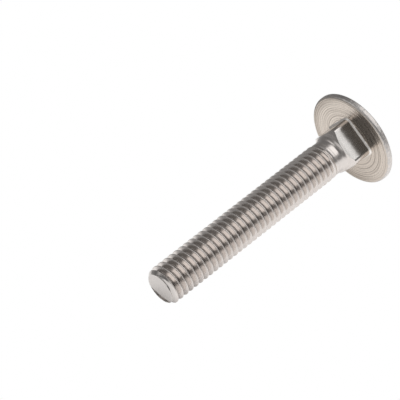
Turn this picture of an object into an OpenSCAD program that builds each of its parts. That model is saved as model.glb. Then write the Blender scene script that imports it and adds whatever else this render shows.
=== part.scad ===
// Carriage bolt: a domed round head, a square neck and a metric thread, cold formed in
// one piece from stainless wire. It lies as it comes to rest, on the rim of its head
// and on the crests near its point. Millimetres, +Z up, the head towards +X. The origin
// is the middle of its footprint, on the surface that it lies on.

/* [Length] */
// Length from the underside of the head to the point
bolt_len = 40; // [25:0.5:55]

/* [Head] */
// Diameter of the head
head_d = 15.5; // [12:0.1:20]
// Height of the head, from its underside to the top of the dome
head_h = 3; // [2:0.05:4]
// Height of the upright side of the rim, where the dome starts
rim_h = 0.8; // [0.5:0.05:1]
// Rounding between the underside and the rim
under_edge_r = 0.4; // [0.1:0.05:0.4]
// Rounding between the rim and the dome
dome_edge_r = 0.2; // [0.1:0.05:0.4]

/* [Square neck] */
// Width of the neck across its flats
neck_w = 6.4; // [6:0.05:8]
// Depth of the neck, from the underside of the head to the middle of a flat's end
neck_depth = 3.85; // [2.5:0.05:5]
// Rounding of the neck's four long corners
neck_corner_r = 0.8; // [0.3:0.05:1]
// Reach of the slope that joins the neck to the underside of the head
neck_root = 0.3; // [0.1:0.05:0.5]
// Angle of the lead-in that cuts the corners, measured from the bolt's axis
lead_in_angle = 57; // [45:1:70]
// Turn of the neck about the bolt's axis, as the bolt lies
neck_turn = 40.6; // [0:0.1:90]

/* [Collar and plain shank] */
// How far the round collar beyond the neck lies below the flats
collar_step = 0.05; // [0.02:0.01:0.1]
// Length of the collar
collar_len = 0.22; // [0.1:0.01:2]
// Radius of the hollow between the collar and the plain shank
shoulder_r = 1.5; // [0.3:0.05:2]
// Diameter of the plain shank
shank_d = 5.7; // [5.4:0.01:5.8]
// Length of the plain shank, beyond the hollow
shank_len = 0.35; // [0.2:0.05:10]

/* [Thread] */
// Diameter of the thread over its crests
thread_d = 5.97; // [5.85:0.01:6.2]
// Advance of the thread in one turn
pitch = 1; // [0.8:0.05:1.2]
// Distance over which the thread grows from the plain shank to its full height
run_out = 1.5; // [1:0.1:3]
// Turn of the thread about the bolt's axis
thread_turn = 128; // [0:1:360]

/* [Point] */
// Length of the chamfer between the crests and the end face
chamfer_len = 0.6; // [0.4:0.05:1.5]
// Diameter of the end face
face_d = 4.8; // [4:0.05:5.5]

/* [Hidden] */
steel = [0.74, 0.72, 0.69];

// Fineness of the round faces, of the dome's outline, of the slope round the neck's
// root and of the thread in one turn
round_fn = 96;
dome_fn = 384;
root_fn = 32;
thread_fn = 28;

// Overlap that makes stacked shapes one, reach of a cutting shape beyond what it cuts,
// depth of the thread's start inside the shank, and least drop from collar to shank
weld = 0.05;
margin = 1;
blank_gap = 0.03;
least_drop = 0.05;

// Turn of the head that keeps the seam of its round faces off the spot it rests on
seam_turn = 2.06;

// Head: the dome is a sphere that runs smoothly into the rounding of the rim
head_r = head_d/2;
edge_x = head_r - dome_edge_r;
edge_drop = head_h - rim_h;
dome_r = (edge_x*edge_x + edge_drop*edge_drop - dome_edge_r*dome_edge_r)
         / (2*(edge_drop - dome_edge_r));
dome_z = head_h - dome_r;
edge_angle = atan2(rim_h - dome_z, edge_x);
edge_end = [edge_x + dome_edge_r*cos(edge_angle), rim_h + dome_edge_r*sin(edge_angle)];

// Neck: a cone cuts the corners of the square and ends in the collar, which is never
// thinner than the shank
shank_r = shank_d/2;
neck_half = neck_w/2;
neck_reach = sqrt(2)*neck_half;
collar_r = max(neck_half - collar_step, shank_r + least_drop);
lead_in_start = neck_depth - (neck_reach - neck_half)/tan(lead_in_angle);
lead_in_end = neck_depth + (neck_half - collar_r)/tan(lead_in_angle);
neck_end = max(neck_depth, lead_in_end + weld);

// Collar and shank: the hollow is limited by the drop between them
collar_end = lead_in_end + collar_len;
hollow_drop = min(shoulder_r, collar_r - shank_r);
hollow_len = sqrt(shoulder_r*shoulder_r - pow(shoulder_r - hollow_drop, 2));
hollow_end = collar_end + hollow_len;
shank_end = hollow_end + shank_len;

// Thread: the metric form, with its flanks leaning as the thread angle asks
thread_r = thread_d/2;
blank_r = shank_r - blank_gap;
flank_angle = 30;
thread_depth = 17/48*sqrt(3)*pitch;
crest_w = pitch/8;
flank_w = thread_depth*tan(flank_angle);
root_w = pitch - crest_w - 2*flank_w;

// One pitch of the thread, towards the point: share of the depth against distance
thread_form = [
    [0, 0],
    [root_w, 0],
    [root_w + flank_w, 1],
    [root_w + flank_w + crest_w, 1],
];
form_n = len(thread_form);
thread_start = hollow_end - pitch;
thread_steps = ceil((bolt_len + 2*pitch - thread_start)/pitch)*thread_fn;

// Point: a chamfer from the crests to the end face
point_start = bolt_len - chamfer_len;
face_r = face_d/2;
chamfer_slope = (thread_r - face_r)/chamfer_len;

// Rest: the tilt that sets the rim down, and with it the last full crest underneath
// or the one beyond it, whichever meets the surface first
crest_end = thread_start + root_w + flank_w + crest_w + pitch*thread_turn/360;
full_crest = crest_end + pitch*floor((point_start - crest_end)/pitch);
next_crest = max(point_start, full_crest + pitch - crest_w);
tilt = min(rest_tilt(full_crest, thread_r), rest_tilt(next_crest, chamfer_r(next_crest)));
rest_lift = (head_r - under_edge_r)*cos(tilt) - under_edge_r*sin(tilt) + under_edge_r;
reach_head = dome_z*cos(tilt) + dome_r;
reach_point = bolt_len*cos(tilt) + face_r*sin(tilt);

// Radius of the chamfer at the distance x from the underside
function chamfer_r(x) = thread_r - chamfer_slope*(x - point_start);

// Tilt that sets down the rim and a crest of radius r at the distance x
function rest_tilt(x, r) =
    let (drop = head_r - under_edge_r - r, run = x + under_edge_r)
    atan2(drop, run) + asin(under_edge_r/norm([drop, run]));

// Growth of the thread out of the blank
function grown(x) = min(1, max(0, (x - shank_end + weld)/run_out));
function crest_r(x) = blank_r + (thread_r - blank_r)*grown(x);
function form_r(x, share) = crest_r(x) - thread_depth*(1 - share)*grown(x);

// Point number k of the form, at step i along the helix, for a right-hand thread
function form_point(i, k) =
    let (
        turn = thread_turn - 360*i/thread_fn,
        x = thread_start + pitch*i/thread_fn + thread_form[k][0],
        r = form_r(x, thread_form[k][1])
    )
    [r*cos(turn), r*sin(turn), -x];

// Round part of an outline: the share of a circle that lies inside a frame
module round_edge(centre, r, fineness, frame) {
    intersection() {
        translate(centre) circle(r = r, $fn = fineness);
        square(frame);
    }
}

// Domed head, with its underside at height zero
module head() {
    rim_x = head_r - under_edge_r;
    rotate_extrude($fn = round_fn) {
        square([rim_x, rim_h]);
        translate([0, under_edge_r]) square([head_r, rim_h - under_edge_r]);
        round_edge([rim_x, under_edge_r], under_edge_r, round_fn, [head_r, rim_h]);
        round_edge([edge_x, rim_h], dome_edge_r, round_fn, [head_r, edge_end[1]]);
        polygon([
            [0, rim_h - weld],
            [edge_x, rim_h - weld],
            [edge_x, rim_h],
            edge_end,
            [0, edge_end[1]],
        ]);
        intersection() {
            translate([0, dome_z]) circle(r = dome_r, $fn = dome_fn);
            translate([0, edge_end[1] - weld]) square([edge_end[0], head_h]);
        }
    }
}

// Upright bar with round corners, as wide as twice the half given
module square_bar(half, corner_r, height, fineness) {
    inset = half - corner_r;
    linear_extrude(height) {
        square([2*half, 2*inset], center = true);
        square([2*inset, 2*half], center = true);
        for (x = [-inset, inset], y = [-inset, inset])
            translate([x, y]) circle(r = corner_r, $fn = fineness);
    }
}

// Round outline of the neck, the collar and the plain shank
module stem_outline() {
    difference() {
        polygon([
            [0, weld],
            [neck_reach, weld],
            [neck_reach, -lead_in_start],
            [collar_r, -lead_in_end],
            [collar_r, -collar_end],
            [shank_r + hollow_drop, -collar_end],
            [shank_r + hollow_drop, -hollow_end],
            [shank_r, -hollow_end],
            [shank_r, -shank_end],
            [0, -shank_end],
        ]);
        translate([shank_r + shoulder_r, -hollow_end]) circle(r = shoulder_r, $fn = round_fn);
    }
}

// Neck, collar and plain shank
module stem() {
    difference() {
        rotate_extrude($fn = round_fn) stem_outline();
        difference() {
            translate([0, 0, -neck_end])
                cylinder(r = neck_reach + margin, h = neck_end + margin, $fn = round_fn);
            rotate(neck_turn) translate([0, 0, -neck_end - margin])
                square_bar(neck_half, neck_corner_r, neck_end + 3*margin, round_fn);
        }
    }
}

// Slope round the root of the neck, welded into the head and into the neck
module root_slope() {
    reach = neck_root + weld;
    rotate(neck_turn) hull() {
        translate([0, 0, weld])
            square_bar(neck_half + reach, neck_corner_r + reach, weld, root_fn);
        translate([0, 0, -reach - weld])
            square_bar(neck_half - weld, neck_corner_r - weld, weld, root_fn);
    }
}

// Threaded length, run on past the point
module thread_helix() {
    last = thread_steps - 1;
    ring = thread_fn;
    points = [for (i = [0:thread_steps], k = [0:form_n - 1]) form_point(i, k)];
    start_hub = len(points);
    end_hub = start_hub + 1;
    bands = [for (i = [0:last], k = [0:form_n - 2]) let (a = form_n*i + k, b = a + form_n)
        [a, a + 1, b + 1, b]];
    seams = [for (i = [0:last - ring]) let (a = form_n*(i + 1) - 1, b = form_n*(i + ring))
        [a, b, b + form_n, a + form_n]];
    start_fan = [for (i = [0:ring - 1]) [start_hub, form_n*i, form_n*(i + 1)]];
    start_step = [for (k = [0:form_n - 2]) [start_hub, k + 1, k]];
    start_close = [[start_hub, form_n*ring, form_n - 1]];
    tail = form_n*thread_steps;
    end_fan = [for (i = [thread_steps - ring + 1:thread_steps]) let (a = form_n*i - 1)
        [end_hub, a + form_n, a]];
    end_step = [for (k = [0:form_n - 2]) [end_hub, tail + k, tail + k + 1]];
    end_close = [[end_hub, tail - form_n*(ring - 1) - 1, tail]];
    starts = concat(start_fan, start_step, start_close);
    ends = concat(end_fan, end_step, end_close);
    polyhedron(
        points = concat(points, [[0, 0, -thread_start], [0, 0, -bolt_len - pitch]]),
        faces = concat(bands, seams, starts, ends)
    );
}

// Room that the thread is trimmed to: the chamfer and the flat end face
module point_outline() {
    wide = thread_r + margin;
    polygon([
        [0, 0],
        [wide, 0],
        [wide, (wide - face_r)/chamfer_slope - bolt_len],
        [face_r, -bolt_len],
        [0, -bolt_len],
    ]);
}

// The whole bolt upright: the dome up, the point down
module upright_bolt() {
    rotate(seam_turn) head();
    stem();
    root_slope();
    intersection() {
        thread_helix();
        rotate_extrude($fn = round_fn) point_outline();
    }
}

module carriage_bolt() {
    color(steel)
    translate([(reach_point - reach_head)/2, 0, rest_lift])
    rotate([0, 90 - tilt, 0])
    upright_bolt();
}

carriage_bolt();
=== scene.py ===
# The carriage bolt dressed for its picture: a finer mesh than the solid's, with the rings
# under its head and its rolled thread, in bright satin steel on a pale floor.
import itertools
import math

import bmesh
import bpy
from mathutils import Matrix, Vector


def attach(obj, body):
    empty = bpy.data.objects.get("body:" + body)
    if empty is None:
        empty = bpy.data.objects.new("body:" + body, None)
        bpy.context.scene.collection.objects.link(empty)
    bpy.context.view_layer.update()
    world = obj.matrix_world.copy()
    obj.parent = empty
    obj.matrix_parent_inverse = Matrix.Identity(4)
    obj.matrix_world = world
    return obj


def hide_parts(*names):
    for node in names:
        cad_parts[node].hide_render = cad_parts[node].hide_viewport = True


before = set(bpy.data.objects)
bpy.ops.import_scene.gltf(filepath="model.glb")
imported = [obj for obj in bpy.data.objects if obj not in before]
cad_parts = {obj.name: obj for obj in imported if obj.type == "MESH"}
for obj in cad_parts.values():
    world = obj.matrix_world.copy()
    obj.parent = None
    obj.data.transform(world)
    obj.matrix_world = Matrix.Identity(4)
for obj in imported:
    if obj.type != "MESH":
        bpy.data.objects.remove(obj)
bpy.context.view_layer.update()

millimetre = 0.001
lie = {"tilt": 6.89932, "underside": (18.45425, 0.0, 7.64873)}  # how the bolt lies, in mm
asItLies = (
    Matrix.Scale(millimetre, 4)
    @ Matrix.Translation(Vector(lie["underside"]))
    @ Matrix.Rotation(math.radians(90 - lie["tilt"]), 4, "Y")
)

camera = {
    "azimuth": -44.088,
    "elevation": 40.72,
    "lens": 158.93,
    "sensor": 36.0,
    "clip": (0.01, 20.0),
    "right": -22.833,  # mm from the underside's middle to the camera
    "up": -9.062,
    "back": 268.84,
}


def placeCamera(view):
    around, above = math.radians(view["azimuth"]), math.radians(view["elevation"])
    right = Vector((math.cos(around), math.sin(around), 0))
    back = Vector(
        (math.sin(around) * math.cos(above), -math.cos(around) * math.cos(above), math.sin(above))
    )
    up = back.cross(right)
    place = Vector(lie["underside"]) + view["right"] * right + view["up"] * up
    place += view["back"] * back
    data = bpy.data.cameras.new("camera")
    data.lens, data.sensor_width = view["lens"], view["sensor"]
    data.clip_start, data.clip_end = view["clip"]
    made = bpy.data.objects.new("camera", data)
    turned = Matrix((right, up, back)).transposed().to_4x4()
    made.matrix_world = Matrix.Translation(place * millimetre) @ turned
    bpy.context.collection.objects.link(made)
    bpy.context.scene.camera = made


placeCamera(camera)
print("camera placed")


# Shader maths: a signal is a node's output that takes part in expressions
class Signal:
    def __init__(self, finish, socket):
        self.finish, self.socket = finish, socket

    def reckon(self, operation, *values):
        return self.finish.node("ShaderNodeMath", {"operation": operation}, *values)

    def __add__(self, other):
        return self.reckon("ADD", self, other)

    def __radd__(self, other):
        return self.reckon("ADD", other, self)

    def __sub__(self, other):
        return self.reckon("SUBTRACT", self, other)

    def __rsub__(self, other):
        return self.reckon("SUBTRACT", other, self)

    def __mul__(self, other):
        return self.reckon("MULTIPLY", self, other)

    def __rmul__(self, other):
        return self.reckon("MULTIPLY", other, self)


class Finish:
    def __init__(self, holder):  # a material or a world
        holder.use_nodes = True
        self.tree = holder.node_tree
        self.tree.nodes.clear()

    def feed(self, socket, value):
        if isinstance(value, Signal):
            self.tree.links.new(value.socket, socket)
        else:
            socket.default_value = value

    def node(self, kind, settings, *values, output=0, **named):
        made = self.tree.nodes.new(kind)
        for setting, value in settings.items():
            setattr(made, setting, value)
        for place, value in [*enumerate(values), *named.items()]:
            socket = made.inputs[place.replace("_", " ") if isinstance(place, str) else place]
            self.feed(socket, value)
        if made.outputs:
            return Signal(self, made.outputs[output])

    def between(self, value, low, high):  # 0 below low, 1 above high, smooth between
        settings = {"interpolation_type": "SMOOTHSTEP"}
        return self.node("ShaderNodeMapRange", settings, value, low, high, 0.0, 1.0)

    def grain(self, where, scale, detail, roughness):
        return self.node(
            "ShaderNodeTexNoise", {}, where, Scale=scale, Detail=detail, Roughness=roughness
        )

    def tint(self, share, low, high):  # colour from low to high
        mix = self.node("ShaderNodeMix", {"data_type": "RGBA"}, share, output=2)
        self.feed(mix.socket.node.inputs[6], low)
        self.feed(mix.socket.node.inputs[7], high)
        return mix

    def vector(self, operation, *values):
        return self.node("ShaderNodeVectorMath", {"operation": operation}, *values)

    def close(self, kind, shader):  # the tree's output
        self.node(kind, {}, shader)

    def part(self, vector, place):  # x, y or z of a vector
        return self.node("ShaderNodeSeparateXYZ", {}, vector, output=place)


bolt = {
    "headRadius": 7.75,
    "headHeight": 3.0,
    "rimHeight": 0.8,
    "underEdge": 0.4,
    "domeEdge": 0.2,
    "columns": 192,
    "domeSteps": 30,
    "domeEdgeSteps": 6,
    "underEdgeSteps": 10,
    "neckHalf": 3.2,
    "neckDepth": 3.85,
    "neckCorner": 0.8,
    "neckRoot": 0.24,
    "neckCrown": 0.05,  # how far the flats bulge near the head
    "crownPeak": 6.75,  # brings the bulge's curve to 1 at its highest
    "crownSpread": 36,  # degrees to each side of a flat's middle
    "flatShares": (0.0, 0.12, 0.3, 0.5, 0.7, 0.85, 1.0),  # rows down a flat, then the lead-in
    "coneShares": (0.2, 0.45, 0.7, 1.0),
    "neckTurn": 40.6,
    "leadInAngle": 57,
    "collarRadius": 3.15,
    "collarLength": 0.22,
    "collarForm": (  # past the lead-in, and how far below the collar
        (0.05, 0.01), (0.25, 0.065), (0.42, 0.11), (0.48, 0.135), (0.53, 0.165), (0.6, 0.21),
        (0.68, 0.248), (0.78, 0.275), (0.9, 0.29), (1.05, 0.297),
    ),
    "shoulder": 1.5,
    "shankRadius": 2.85,
    "shankLength": 0.35,
    "shankTaper": 0.01,
    "hollowSettles": 0.05,  # past the hollow's end
    "blankRadius": 2.82,
    "jointStep": 0.02,  # between the rows where the thread is joined on
    "sharpAngle": 34,
    "ringEvery": 0.33,  # turned rings on the underside, and how deep they go in turn
    "ringDepths": (0.028, 0.018, 0.024, 0.014, 0.03, 0.02),
    "ringForm": ((0.0, 0.0), (0.25, 0.75), (0.5, 1.0), (0.75, 0.75)),  # share, depth
    "ringClear": 0.05,  # how far the rings stay off the slope round the neck
}
leadIn = math.tan(math.radians(bolt["leadInAngle"]))
leadEnd = bolt["neckDepth"] + (bolt["neckHalf"] - bolt["collarRadius"]) / leadIn
collarEnd = leadEnd + bolt["collarLength"]
hollowReach = bolt["shoulder"] - (bolt["collarRadius"] - bolt["shankRadius"])
hollowEnd = collarEnd + math.sqrt(bolt["shoulder"] ** 2 - hollowReach**2)
shankEnd = hollowEnd + bolt["shankLength"]

thread = {
    "radius": 2.985,
    "pitch": 1.0,
    "stepsPerTurn": 90,
    "flankAngle": 30,
    "rootTurns": (0, 20, 40, 60),  # degrees round the root, and round a crest's corner
    "crestTurns": (60, 30, 0),
    "crestLoop": 0.2,  # share of the crest's flat
    "turn": 128.0,
    "length": 40.0,
    "runOut": 1.5,
    "weld": 0.05,
    "crestRound": 0.04,
    "rootRound": 0.1443,
    "chamferLength": 0.6,
    "faceRadius": 2.4,
    "edgeRound": 0.03,
    "edgeDrop": 0.3,
    "pointLoops": (  # rows over the chamfer, back from the end face
        0.66, 0.6, 0.54, 0.48, 0.42, 0.36, 0.3, 0.24, 0.18, 0.12, 0.06, 0.03, 0.01, 0.0,
    ),
    "faceLoops": (0.985, 0.93, 0.86, 0.79, 0.72, 0.65, 0.4),
    "roundUpTo": 0.95,  # loops at smaller shares of the end face are true circles
    "flankLoops": (0.07, 0.5, 0.93),  # shares of a flank that keep its shading even
    "growth": 1.8,  # how slowly the groove starts at the run-out
    "droop": (185, 62, 0.42, 0.30),  # turn, half spread in degrees, share of the face, slope
    "droopDepth": 0.05,  # how far behind the end face it reaches
}
threadDepth = 17 / 48 * math.sqrt(3) * thread["pitch"]  # to a root with its full round
near = {"turns": 0.004, "stem": 0.0005, "level": 0.005, "cut": 0.00001}  # mm that count as none


def arcPoints(centre, radius, start, end, steps):  # degrees, from the first to the last
    turns = [math.radians(start + (end - start) * step / steps) for step in range(steps + 1)]
    return [(centre[0] + radius * math.cos(t), centre[1] + radius * math.sin(t)) for t in turns]


def spunStrip(columns, rows):  # a wall of rows at heights 0, -1, -2 and so on, to be shaped
    made = bmesh.new()
    line = [made.verts.new((1, 0, -row)) for row in range(rows)]
    edges = [made.edges.new(pair) for pair in zip(line, line[1:])]
    bmesh.ops.spin(
        made,
        geom=line + edges,
        cent=(0, 0, 0),
        axis=(0, 0, 1),
        dvec=(0, 0, 0),
        angle=math.tau,
        steps=columns,
        use_merge=True,
        use_duplicate=False,
    )
    return made


def offFlat(turn):  # degrees from the middle of the nearest flat
    return abs((math.degrees(turn) + 45) % 90 - 45)


def squareReach(turn, grow):  # from the axis to the side of the neck's square, at a turn
    half, corner = bolt["neckHalf"] + grow, bolt["neckCorner"] + grow
    aside = math.radians(offFlat(turn))
    if half * math.tan(aside) <= half - corner:
        return half / math.cos(aside)
    swing, off = math.radians(45) - aside, math.sqrt(2) * (half - corner)
    return off * math.cos(swing) + math.sqrt(corner**2 - (off * math.sin(swing)) ** 2)


def flatness(turn):  # 1 at the middle of a flat, 0 at a corner
    return max(0, 1 - (offFlat(turn) / bolt["crownSpread"]) ** 2)


def domeAndRim():  # from the dome's top down to the flat underside
    radius, high, low = bolt["headRadius"], bolt["headHeight"], bolt["rimHeight"]
    domeEdge, underEdge = bolt["domeEdge"], bolt["underEdge"]
    across, drop = radius - domeEdge, high - low
    domeRadius = (across**2 + drop**2 - domeEdge**2) / (2 * (drop - domeEdge))
    lean = math.degrees(math.atan2(low - high + domeRadius, across))
    outline = arcPoints((0, high - domeRadius), domeRadius, 90, lean, bolt["domeSteps"])
    outline += arcPoints((across, low), domeEdge, lean, 0, bolt["domeEdgeSteps"])[1:]
    outline.append((radius, (low + underEdge) / 2))
    steps = bolt["underEdgeSteps"]
    return outline + arcPoints((radius - underEdge, underEdge), underEdge, 0, -90, steps)


def turnedRings():  # the grooves of the underside, from the rim towards the neck
    ring, rows = bolt["headRadius"] - bolt["underEdge"], []
    depths = itertools.cycle(bolt["ringDepths"])
    while ring - bolt["ringEvery"] > squareReach(0, bolt["neckRoot"]) + bolt["ringClear"]:
        deep = next(depths)
        for share, depth in bolt["ringForm"]:
            rows.append((ring - bolt["ringEvery"] * share, deep * depth))
        ring -= bolt["ringEvery"]
    return rows


def shapeHeadAndNeck():
    head, rings, root = domeAndRim(), turnedRings(), bolt["neckRoot"]
    tail = [(bolt["collarRadius"] - drop, -leadEnd - past) for past, drop in bolt["collarForm"]]
    tail.append((bolt["shankRadius"], -hollowEnd - bolt["hollowSettles"]))
    tail.append((bolt["shankRadius"] - bolt["shankTaper"], -shankEnd))
    tail.append((bolt["blankRadius"], -shankEnd - bolt["jointStep"]))
    rows = [("head", *point) for point in head] + [("ring", *point) for point in rings]
    rows += [("slope", root, 0), ("slope", root / 2, -root / 2)]
    rows += [("flat", share, 0) for share in bolt["flatShares"]]
    rows += [("cone", share, 0) for share in bolt["coneShares"]]
    rows += [("tail", *point) for point in tail]
    made = spunStrip(bolt["columns"], len(rows))
    for vert in made.verts:
        turn = math.atan2(vert.co.y, vert.co.x)
        kind, reach, height = rows[round(-vert.co.z)]
        side = squareReach(turn, 0)
        end = leadEnd - (side - bolt["collarRadius"]) / leadIn
        if kind == "ring":
            squeeze = (bolt["headRadius"] - reach) * bolt["ringClear"] / bolt["headRadius"]
            least = squareReach(turn, root) + bolt["ringClear"] - squeeze
            if reach < least:
                reach, height = least, 0
        elif kind == "slope":
            reach = squareReach(turn, reach)
        elif kind == "flat":
            crown = bolt["neckCrown"] * bolt["crownPeak"] * reach * (1 - reach) ** 2
            crown *= flatness(turn)
            reach, height = side + crown, -root - reach * (end - root)
        elif kind == "cone":
            share = reach
            reach = side + share * (bolt["collarRadius"] - side)
            height = -end - share * (leadEnd - end)
        turn += math.radians(bolt["neckTurn"])
        vert.co = (reach * math.cos(turn), reach * math.sin(turn), height)
    return made


def threadForm():  # one pitch from root to root, as (distance, depth below the crest)
    root, crest = thread["rootRound"] * thread["pitch"], thread["crestRound"]
    half = [
        (root * math.sin(math.radians(t)), threadDepth - root * (1 - math.cos(math.radians(t))))
        for t in thread["rootTurns"]
    ]
    corner = thread["pitch"] / 2 - thread["pitch"] / 16  # the crest's sharp corner
    off = crest * math.tan(math.radians(thread["flankAngle"]))
    low, top = half[-1], corner + off
    for t in thread["crestTurns"]:
        angle = math.radians(t)
        half.append((top - crest * math.sin(angle), crest * (1 - math.cos(angle))))
    place = len(thread["rootTurns"])
    high = half[place]
    flank = [
        tuple(start + share * (end - start) for start, end in zip(low, high))
        for share in thread["flankLoops"]
    ]
    half[place:place] = flank
    half.append((top + thread["crestLoop"] * (thread["pitch"] / 2 - top), 0))
    return half + [(thread["pitch"] - x, depth) for x, depth in reversed(half)]


def pointReach(x):  # the chamfer, with a small round where it meets the end face
    back = thread["length"] - x
    slope = (thread["radius"] - thread["faceRadius"]) / thread["chamferLength"]
    reach = min(thread["radius"], thread["faceRadius"] + slope * back)
    small = thread["edgeRound"]
    if back < small:
        reach -= thread["edgeDrop"] * small * (1 - back / small) ** 2
    return reach


def threadReach(x, depth):  # from the axis to the thread, at a depth below its full crest
    grown = min(1, max(0, (x - shankEnd + thread["weld"]) / thread["runOut"]))
    crest = bolt["blankRadius"] + (thread["radius"] - bolt["blankRadius"]) * grown
    return min(crest - depth * grown ** thread["growth"], pointReach(min(x, thread["length"])))


def shapeThread():
    pitch, steps = thread["pitch"], thread["stepsPerTurn"]
    start = hollowEnd - pitch + pitch / 6  # what is above the joint is cut off later
    form = threadForm()
    turns = math.ceil((thread["length"] + 2 * pitch - start) / pitch)
    made = bmesh.new()
    first = Matrix.Rotation(math.radians(thread["turn"]), 3, "Z")
    line = [
        made.verts.new(first @ Vector((thread["radius"] - depth, 0, -start - x)))
        for x, depth in form
    ]
    edges = [made.edges.new(pair) for pair in zip(line, line[1:])]
    bmesh.ops.spin(
        made,
        geom=line + edges,
        cent=(0, 0, 0),
        axis=(0, 0, 1),
        dvec=(0, 0, -pitch / steps),
        angle=-math.tau,
        steps=steps,
        use_merge=False,
        use_duplicate=False,
    )
    turn = made.verts[:] + made.edges[:] + made.faces[:]
    for count in range(1, turns):
        copied = bmesh.ops.duplicate(made, geom=turn)["geom"]
        verts = [part for part in copied if isinstance(part, bmesh.types.BMVert)]
        bmesh.ops.translate(made, verts=verts, vec=(0, 0, -pitch * count))
    bmesh.ops.remove_doubles(made, verts=made.verts[:], dist=near["turns"])
    for back in thread["pointLoops"]:
        cutAcross(made, back - thread["length"], None)
    for vert in made.verts:
        radius = vert.co.xy.length
        reach = threadReach(-vert.co.z, thread["radius"] - radius)
        vert.co.xy = vert.co.xy * (reach / radius)
    return made


def openEdges(made, height):  # the open loop at a height
    return [
        edge
        for edge in made.edges
        if edge.is_boundary and all(abs(v.co.z - height) < near["level"] for v in edge.verts)
    ]


def cutAcross(made, height, upper):  # keeps what is below the height, or above it, or both
    bmesh.ops.bisect_plane(
        made,
        geom=made.verts[:] + made.edges[:] + made.faces[:],
        dist=near["cut"],
        plane_co=(0, 0, height),
        plane_no=(0, 0, 1 if upper else -1),
        clear_outer=upper is not None,
        clear_inner=False,
    )


def closePoint(made):  # the end face, with loops that keep its edge crisp
    cutAcross(made, -thread["length"], False)
    loop = openEdges(made, -thread["length"])
    for share in thread["faceLoops"]:
        ring = bmesh.ops.extrude_edge_only(made, edges=loop)["geom"]
        verts = [g for g in ring if isinstance(g, bmesh.types.BMVert)]
        loop = [g for g in ring if isinstance(g, bmesh.types.BMEdge) and g.is_boundary]
        middle = sum(vert.co.xy.length for vert in verts) / len(verts)
        for vert in verts:
            radius = vert.co.xy.length
            even = share if share > thread["roundUpTo"] else share * middle / radius
            vert.co.xy = vert.co.xy * even
    bmesh.ops.contextual_create(made, geom=loop)
    turn, spread, share, slope = thread["droop"]
    for vert in made.verts:
        if vert.co.z > thread["droopDepth"] - thread["length"]:
            continue
        aside = math.degrees(math.atan2(vert.co.y, vert.co.x)) - (turn - 180)
        aside = abs((aside + 180) % 360 - 180) / spread
        if aside < 1:
            start = thread["faceRadius"] * (1 - share * (1 - aside**2))
            vert.co.z += slope * max(0, vert.co.xy.length - start)


def buildBolt():
    stem = shapeHeadAndNeck()
    bmesh.ops.remove_doubles(stem, verts=stem.verts[:], dist=near["stem"])
    held = bpy.data.meshes.new("held")
    stem.to_mesh(held)
    stem.free()
    made = shapeThread()
    joint = -shankEnd - 2 * bolt["jointStep"]
    cutAcross(made, joint, True)
    closePoint(made)
    made.from_mesh(held)
    bpy.data.meshes.remove(held)
    loops = openEdges(made, joint) + openEdges(made, -shankEnd - bolt["jointStep"])
    print("joint of", len(loops), "edges")
    bmesh.ops.bridge_loops(made, edges=loops)
    bmesh.ops.recalc_face_normals(made, faces=made.faces[:])
    bmesh.ops.triangulate(made, faces=[f for f in made.faces if len(f.verts) > 4])
    print(
        "bolt:", len(made.faces), "faces,", made.calc_volume(signed=True), "mm3, open edges",
        sum(1 for edge in made.edges if not edge.is_manifold),
    )
    bmesh.ops.transform(made, matrix=asItLies, verts=made.verts[:])
    mesh = bpy.data.meshes.new("bolt")
    made.to_mesh(mesh)
    made.free()
    mesh.shade_smooth()
    mesh.set_sharp_from_angle(angle=math.radians(bolt["sharpAngle"]))
    piece = bpy.data.objects.new("bolt", mesh)
    bpy.context.collection.objects.link(piece)
    return piece


steelLook = {
    "colour": (0.715, 0.667, 0.635, 1),
    "groove": (0.36, 0.31, 0.265, 1),  # painted shade in the turned rings
    "root": (0.24, 0.205, 0.18, 1),  # painted shade low in the thread's roots
    "neck": (0.49, 0.475, 0.46, 1),
    "point": (0.6, 0.565, 0.54, 1),
    # painted highlight on the narrow slope round the neck
    "slope": (0.93, 0.89, 0.85, 1),
    "rim": (0.6, 0.575, 0.555, 1),
    "underside": (0.705, 0.634, 0.565, 1),
    "ringRate": 17.5,  # rings on the underside, in radians a mm
    "roughness": 0.22,
    "neckRoughness": 0.17,
    "stemRoughness": 0.3,
    "slopeRoughness": 0.45,
    "crestRoughness": 0.44,
    "rimRoughness": 0.4,
    "undersideRoughness": 0.26,
    "rimDents": 0.07,  # heights in mm
    "flatWaves": 0.006,
    "rollMarks": 0.0015,
    "stemMarks": 0.02,
    "dust": 0.0004,
    "ringWobble": 0.012,  # how far the rings' shades stray from true circles
    "ringDrift": 1.2,
    "ringPatches": (0.40, 0.62),
    "ringEdges": (-0.3, 0.9),
    "ringShades": (0.35, 0.45, 0.2),  # patches, lines within patches, lines all over
    "rootShade": 0.65,
    "rimPatches": (0.4, 0.6),
    "neckPatches": (0.1, 0.55),
    "speckRoughness": 0.12,
    "waveRoughness": 0.1,
    "rollStretch": (0.5, 0.5, 9.0),
    "stemStretch": (0.25, 0.25, 3.5),
}
steelGrains = {  # scale per mm, detail, roughness
    "ringShade": (2.6, 3.0, 0.7),
    "ringDrift": (0.5, 2.0, 0.5),
    "dents": (2.6, 3.0, 0.6),
    "waves": (1.1, 2.0, 0.5),
    "specks": (9.0, 2.0, 0.6),
    "rollMarks": (1.0, 3.0, 0.6),
    "stemMarks": (1.0, 1.0, 0.5),
}
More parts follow.
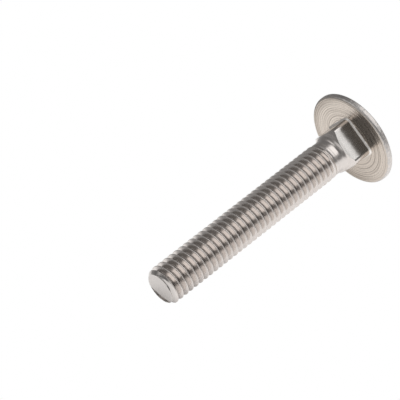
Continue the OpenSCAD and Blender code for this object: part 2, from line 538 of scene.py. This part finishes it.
steelZones = {  # edges in mm, as heights above the underside or distances from the axis
    "undersideLow": (-0.08, -0.03),
    "undersideHigh": (0.05, 0.12),
    "undersideInner": (3.4, 3.6),
    "rimLow": (-0.02, 0.1),
    "rimInner": (7.0, 7.5),
    "flatSide": (3.12, 3.18),
    "flatLow": (-4.0, -3.9),
    "flatHigh": (-0.4, -0.3),
    "slopeLow": (-0.3, -0.22),
    "slopeHigh": (-0.03, 0),
    "slopeInner": (3.1, 3.15),
    "stemLow": (-6.2, -5.8),
    "stemHigh": (-3.6, -3.3),
    "stemOuter": (3.5, 3.7),
    "threadHigh": (-5.4, -4.9),
    "crestInner": (2.88, 2.96),
    "rootOuter": (2.41, 2.48),
    "pointHigh": (-39.7, -39.3),
    "endFace": (-39.99, -39.96),
}


def steelFinish():
    steel = bpy.data.materials.new("brightSteel")
    finish = Finish(steel)
    between = finish.between

    def past(value, zone):  # 0 short of a zone's edge, 1 past it
        return between(value, *steelZones[zone])

    place = finish.node("ShaderNodeTexCoord", {}, output=3)
    local = finish.node(  # mm along the bolt's own axes, with z from the underside up the dome
        "ShaderNodeMapping",
        {"vector_type": "TEXTURE"},
        place,
        Vector(lie["underside"]) * millimetre,
        (0, math.radians(90 - lie["tilt"]), 0),
        (millimetre,) * 3,
    )
    flatWise = finish.vector("MULTIPLY", local, (1, 1, 0))
    reach = finish.node("ShaderNodeVectorMath", {"operation": "LENGTH"}, flatWise, output=1)
    height = finish.part(local, 2)
    onUnderside = past(height, "undersideLow") * (1 - past(height, "undersideHigh"))
    onUnderside = onUnderside * past(reach, "undersideInner")
    onRim = past(reach, "rimInner")
    turned = finish.node(  # in line with the neck's flats
        "ShaderNodeMapping",
        {"vector_type": "TEXTURE"},
        local,
        (0, 0, 0),
        (0, 0, math.radians(bolt["neckTurn"])),
        (1, 1, 1),
    )
    across = finish.vector("ABSOLUTE", turned)
    wide, deep = finish.part(across, 0), finish.part(across, 1)
    onNeck = past(wide.reckon("MAXIMUM", wide, deep), "flatSide") * past(height, "flatLow")
    onNeck = onNeck * (1 - past(height, "flatHigh"))
    onSlope = past(height, "slopeLow") * (1 - past(height, "slopeHigh"))
    onSlope = onSlope * past(reach, "slopeInner")
    onThread = 1 - past(height, "threadHigh")
    onCrest = onThread * past(reach, "crestInner")
    inRoot = onThread * (1 - past(reach, "rootOuter")) * past(height, "endFace")
    onStem = past(height, "stemLow") * (1 - past(height, "stemHigh"))
    onStem = onStem * (1 - past(reach, "stemOuter"))

    ringPlace = finish.node("ShaderNodeCombineXYZ", {}, reach, 0, 0)
    stray = finish.vector("MULTIPLY", flatWise, (steelLook["ringWobble"],) * 3)
    ringPlace = finish.vector("ADD", ringPlace, stray)
    ringShade = finish.grain(ringPlace, *steelGrains["ringShade"])
    ringShade = between(ringShade, *steelLook["ringPatches"])
    drift = finish.grain(local, *steelGrains["ringDrift"]) * steelLook["ringDrift"]
    ringTurn = reach * steelLook["ringRate"] + drift
    ringLines = between(ringTurn.reckon("SINE", ringTurn), *steelLook["ringEdges"])
    dents = finish.grain(local, *steelGrains["dents"])
    waves = finish.grain(local, *steelGrains["waves"])
    specks = finish.grain(local, *steelGrains["specks"])
    alongRoll = finish.vector("MULTIPLY", local, steelLook["rollStretch"])
    rollMarks = finish.grain(alongRoll, *steelGrains["rollMarks"])
    alongStem = finish.vector("MULTIPLY", local, steelLook["stemStretch"])
    stemMarks = finish.grain(alongStem, *steelGrains["stemMarks"])

    colour = finish.tint(onUnderside, steelLook["colour"], steelLook["underside"])
    patches, patchLines, allLines = steelLook["ringShades"]
    # painted shade: darker lines along the turned rings, in random patches, on the underside only
    ringPaintedShade = onUnderside * (ringShade * patches + ringLines * (ringShade * patchLines + allLines))
    colour = finish.tint(ringPaintedShade, colour, steelLook["groove"])
    # painted shade in the thread's roots, short of the end face
    colour = finish.tint(inRoot * steelLook["rootShade"], colour, steelLook["root"])
    colour = finish.tint(1 - past(height, "pointHigh"), colour, steelLook["point"])
    # painted highlight: the slope round the neck is lighter than the steel
    colour = finish.tint(onSlope, colour, steelLook["slope"])
    mottled = onRim * between(dents, *steelLook["rimPatches"]) * past(height, "rimLow")
    colour = finish.tint(mottled, colour, steelLook["rim"])
    worn = onNeck * between(specks, *steelLook["neckPatches"])
    colour = finish.tint(worn, colour, steelLook["neck"])
    roughness = steelLook["roughness"]
    for mask, wanted in (
        (onCrest, "crestRoughness"), (onRim, "rimRoughness"), (onUnderside, "undersideRoughness"),
        (onNeck, "neckRoughness"), (onSlope, "slopeRoughness"), (onStem, "stemRoughness"),
    ):
        roughness = roughness + mask * (steelLook[wanted] - steelLook["roughness"])
    roughness = roughness + (specks - 0.5) * steelLook["speckRoughness"]
    roughness = roughness + (waves - 0.5) * steelLook["waveRoughness"]
    relief = onRim * dents * steelLook["rimDents"] + onNeck * waves * steelLook["flatWaves"]
    relief = relief + onThread * rollMarks * steelLook["rollMarks"]
    relief = relief + onStem * stemMarks * steelLook["stemMarks"]
    relief = relief + specks * steelLook["dust"]
    bump = finish.node("ShaderNodeBump", {}, Strength=1.0, Distance=millimetre, Height=relief)
    finish.close(
        "ShaderNodeOutputMaterial",
        finish.node(
            "ShaderNodeBsdfPrincipled",
            {},
            Base_Color=colour,
            Metallic=1.0,
            Roughness=roughness,
            Normal=bump,
        ),
    )
    return steel


piece = buildBolt()
piece.data.materials.append(steelFinish())
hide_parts("carriage_bolt")
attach(piece, "root")
print("bolt made")


studio = {
    "frontFloor": 0.84,  # how pale the table is in front of the bolt, and behind it, where painted shade darkens it
    "backFloor": 0.22,
    "turnsDark": (0.012, 0.020),  # metres behind the bolt, where the painted shade sets in
    "glow": 0.76,
    "contact": 0.0025,
    "room": 0.18,
    "pale": 1.0,
    "floorSize": 3.0,
    "floorRoughness": 0.9,
    "lights": {  # direction, metres away, size, radiance
        "softbox": ((0.41, -0.30, 0.86), 0.5, (0.40, 0.58), 1.24),
        "panel": ((-0.92, -0.34, 0.20), 0.6, (0.16, 0.12), 0.9),
        "sidePanel": ((-0.60, 0.36, 0.66), 0.6, (0.34, 0.62), 0.8),
    },
}


def lightAt(name, toward, reach, size, strength):  # direction, metres, radiance
    data = bpy.data.lights.new(name, "AREA")
    data.shape, data.size, data.size_y = "RECTANGLE", size[0], size[1]
    data.energy = strength * math.pi * size[0] * size[1]
    made = bpy.data.objects.new(name, data)
    away = Vector(toward).normalized()
    aside = (Vector((1, 0, 0)) - away * away.x).normalized()
    turned = Matrix((aside, away.cross(aside), away)).transposed().to_4x4()
    made.matrix_world = Matrix.Translation(away * reach) @ turned
    made.visible_camera = False
    bpy.context.collection.objects.link(made)


def paleFloor():
    made = bmesh.new()
    bmesh.ops.create_grid(made, x_segments=1, y_segments=1, size=studio["floorSize"])
    mesh = bpy.data.meshes.new("floor")
    made.to_mesh(mesh)
    made.free()
    ground = bpy.data.objects.new("floor", mesh)
    bpy.context.collection.objects.link(ground)
    pale = bpy.data.materials.new("paleFloor")
    finish = Finish(pale)
    where = finish.node("ShaderNodeTexCoord", {}, output=3)
    # painted shade: the floor turns dark behind the bolt, seen only in reflections, while the
    # camera sees it plain pale
    behind = finish.between(finish.part(where, 1), *studio["turnsDark"])
    table = finish.tint(
        behind, (studio["frontFloor"],) * 3 + (1,), (studio["backFloor"],) * 3 + (1,)
    )
    # the floor's glow fades where the bolt is near: painted contact shade
    unshaded = finish.node("ShaderNodeAmbientOcclusion", {}, Distance=studio["contact"], output=1)
    lit = finish.node(
        "ShaderNodeBsdfPrincipled",
        {},
        Base_Color=table,
        Roughness=studio["floorRoughness"],
        Emission_Color=table,
        Emission_Strength=unshaded * studio["glow"],
    )
    seen = finish.node("ShaderNodeEmission", {}, Strength=studio["pale"])
    straight = finish.node("ShaderNodeLightPath", {})
    both = finish.node("ShaderNodeMixShader", {}, straight, lit, seen)
    finish.close("ShaderNodeOutputMaterial", both)
    mesh.materials.append(pale)


def surroundings():
    world = bpy.data.worlds.new("studio")
    bpy.context.scene.world = world
    finish = Finish(world)
    straight = finish.node("ShaderNodeLightPath", {})
    strength = studio["room"] + straight * (studio["pale"] - studio["room"])
    sky = finish.node("ShaderNodeBackground", {}, (1, 1, 1, 1), strength)
    finish.close("ShaderNodeOutputWorld", sky)


paleFloor()
for name, settings in studio["lights"].items():
    lightAt(name, *settings)
surroundings()
bpy.context.scene.view_settings.view_transform = "Standard"
print("studio lit")
